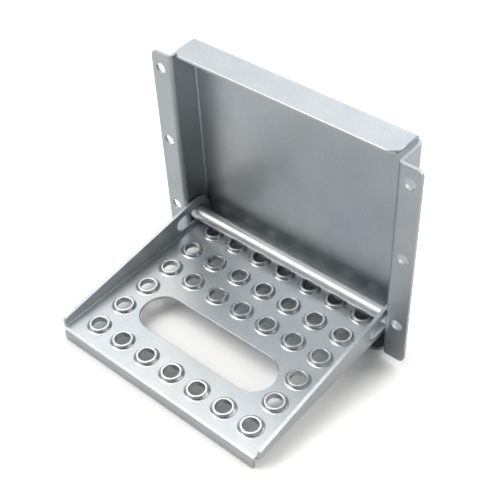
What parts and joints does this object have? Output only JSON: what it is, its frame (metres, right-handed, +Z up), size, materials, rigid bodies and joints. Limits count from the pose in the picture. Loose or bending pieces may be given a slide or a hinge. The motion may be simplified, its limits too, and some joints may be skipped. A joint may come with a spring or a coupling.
{
  "type": "folding step",
  "caption": "Folding step of zinc-plated sheet: a perforated tread with collared grip holes and a hand-hole swings up on a rod in a shallow bolt-on tray.",
  "frame": {"origin": "centre of the four corner bolt holes, on the rear (mounting) face of the tray's flanges", "axes": "X to the right along the rod, -Y to the front where the tread reaches out, +Z up"},
  "size_m": [0.2344, 0.171, 0.1905],
  "materials": {
    "zinc_tray": "satin blue-white zinc plating",
    "zinc_rod": "bright zinc plating",
    "zinc_tread": "satin blue-white zinc plating"
  },
  "bodies": {
    "tray": {"tray": "zinc_tray", "rod": "zinc_rod"},
    "tread": {"tread": "zinc_tread"}
  },
  "joints": [
    {"name": "tread_fold", "type": "hinge", "parent": "tray", "child": "tread", "pos_m": [0, 0.0075, -0.074], "axis": [-1, 0, 0], "range_deg": [0, 90]}
  ]
}
